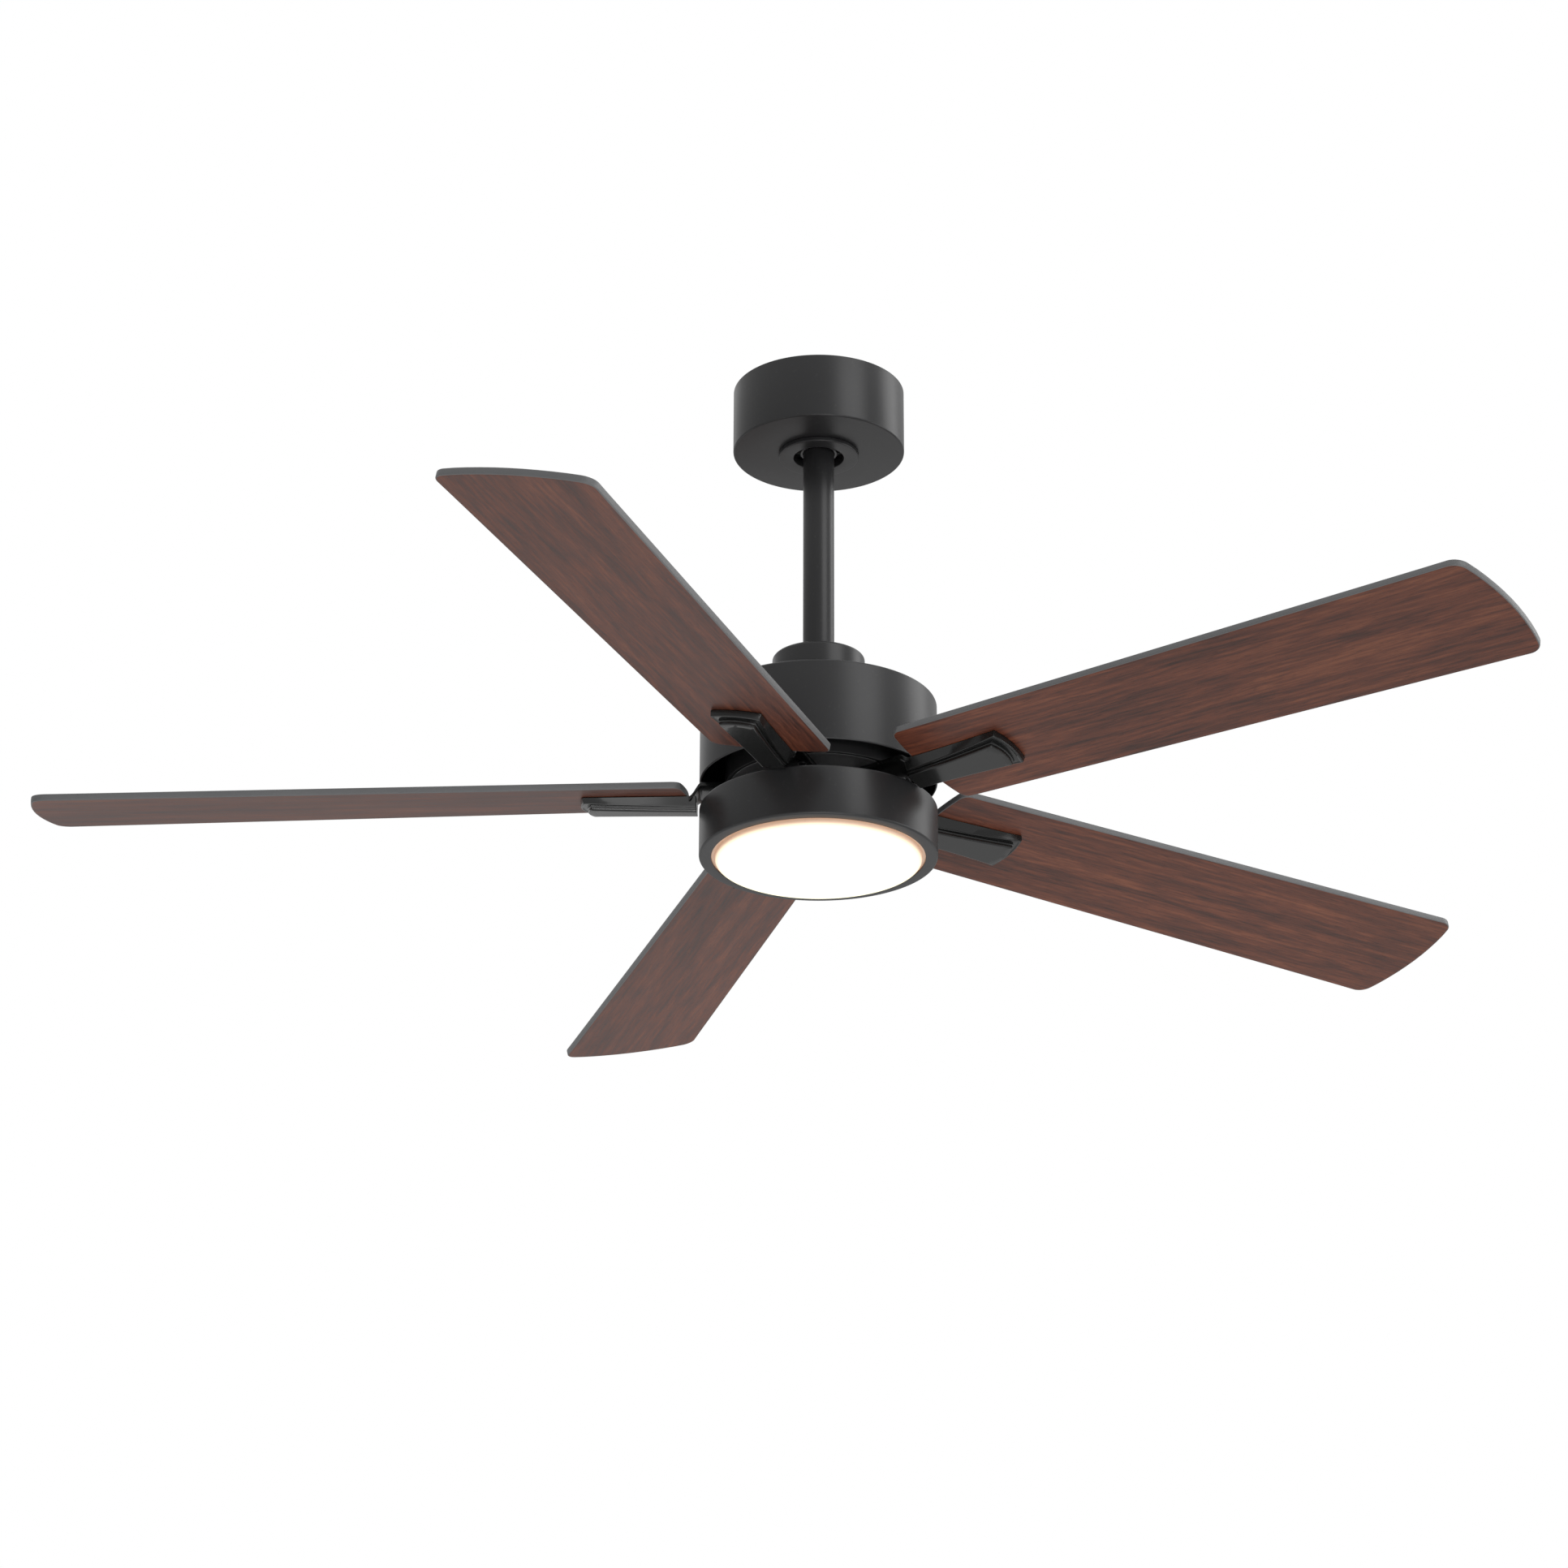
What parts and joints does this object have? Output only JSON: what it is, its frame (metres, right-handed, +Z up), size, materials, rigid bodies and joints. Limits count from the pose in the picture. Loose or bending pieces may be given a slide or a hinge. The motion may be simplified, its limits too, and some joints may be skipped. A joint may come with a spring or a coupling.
{
  "type": "ceiling fan with light",
  "caption": "Ceiling fan hung on a short downrod from a drum canopy, with a cylindrical motor housing, pitched wooden blades on cast arms, and a round drum light with a frosted lens below.",
  "frame": {"origin": "centre of the ceiling plate's top face, which lies against the ceiling", "axes": "+Z up, out of the plate's top face and along the downrod; +X along the registration pin in the hanger bracket; -Y to the side that the bracket's rod slot opens to"},
  "size_m": [1.231, 1.2759, 0.4392],
  "materials": {
    "black_enamel": "satin",
    "arm_enamel": "gloss",
    "walnut_blade": "satin",
    "zinc_steel": "satin",
    "blackened_screw": "satin",
    "bracket_steel": "satin",
    "cast_alloy": "matte",
    "lamination": "satin",
    "winding": "gloss",
    "ferrite": "matte",
    "ball_nylon": "gloss",
    "black_plastic": "matte",
    "lead_jacket": "satin",
    "board": "matte",
    "frosted_lens": "satin"
  },
  "bodies": {
    "ceiling_side": {"ceiling_bracket": "bracket_steel", "canopy": "black_enamel", "canopy_screw_1": "zinc_steel", "canopy_screw_2": "zinc_steel", "canopy_ring": "black_enamel", "receiver": "black_plastic"},
    "registration_pin": {"registration_pin": "zinc_steel"},
    "fan": {"hanger_ball": "ball_nylon", "hanger_pin": "zinc_steel", "downrod": "black_enamel", "motor_lead": "lead_jacket", "coupling_cover": "black_enamel", "motor_yoke": "cast_alloy", "clevis_pin": "zinc_steel", "hairpin_clip": "zinc_steel", "yoke_set_screw_1": "zinc_steel", "yoke_set_screw_2": "zinc_steel", "motor_housing": "black_enamel", "motor_shaft": "zinc_steel", "stator_core": "lamination", "stator_winding": "winding", "light_adapter": "cast_alloy", "light_pan": "black_enamel", "light_screw_1": "zinc_steel", "light_screw_2": "zinc_steel", "light_screw_3": "zinc_steel", "led_driver": "black_plastic", "led_board": "board", "lens": "frosted_lens"},
    "rotor": {"rotor_shell": "black_enamel", "rotor_end_cap": "cast_alloy", "magnet_ring": "ferrite", "upper_bearing": "zinc_steel", "lower_bearing": "zinc_steel", "blade_arm_1": "arm_enamel", "blade_arm_2": "arm_enamel", "blade_arm_3": "arm_enamel", "blade_arm_4": "arm_enamel", "blade_arm_5": "arm_enamel", "blade_1": "walnut_blade", "blade_2": "walnut_blade", "blade_3": "walnut_blade", "blade_4": "walnut_blade", "blade_5": "walnut_blade", "blade_screw_1_1": "blackened_screw", "blade_screw_1_2": "blackened_screw", "blade_screw_1_3": "blackened_screw", "blade_screw_2_1": "blackened_screw", "blade_screw_2_2": "blackened_screw", "blade_screw_2_3": "blackened_screw", "blade_screw_3_1": "blackened_screw", "blade_screw_3_2": "blackened_screw", "blade_screw_3_3": "blackened_screw", "blade_screw_4_1": "blackened_screw", "blade_screw_4_2": "blackened_screw", "blade_screw_4_3": "blackened_screw", "blade_screw_5_1": "blackened_screw", "blade_screw_5_2": "blackened_screw", "blade_screw_5_3": "blackened_screw"}
  },
  "joints": [
    {"name": "hanger_tilt_x", "type": "hinge", "parent": "ceiling_side", "child": "registration_pin", "pos_m": [0, 0, -0.036], "axis": [1, 0, 0], "range_deg": [-8, 8]},
    {"name": "hanger_tilt_y", "type": "hinge", "parent": "registration_pin", "child": "fan", "pos_m": [0, 0, -0.036], "axis": [0, 1, 0], "range_deg": [-8, 8]},
    {"name": "rotor_spin", "type": "hinge", "parent": "fan", "child": "rotor", "pos_m": [0, 0, -0.34], "axis": [0, 0, 1], "continuous": true}
  ]
}
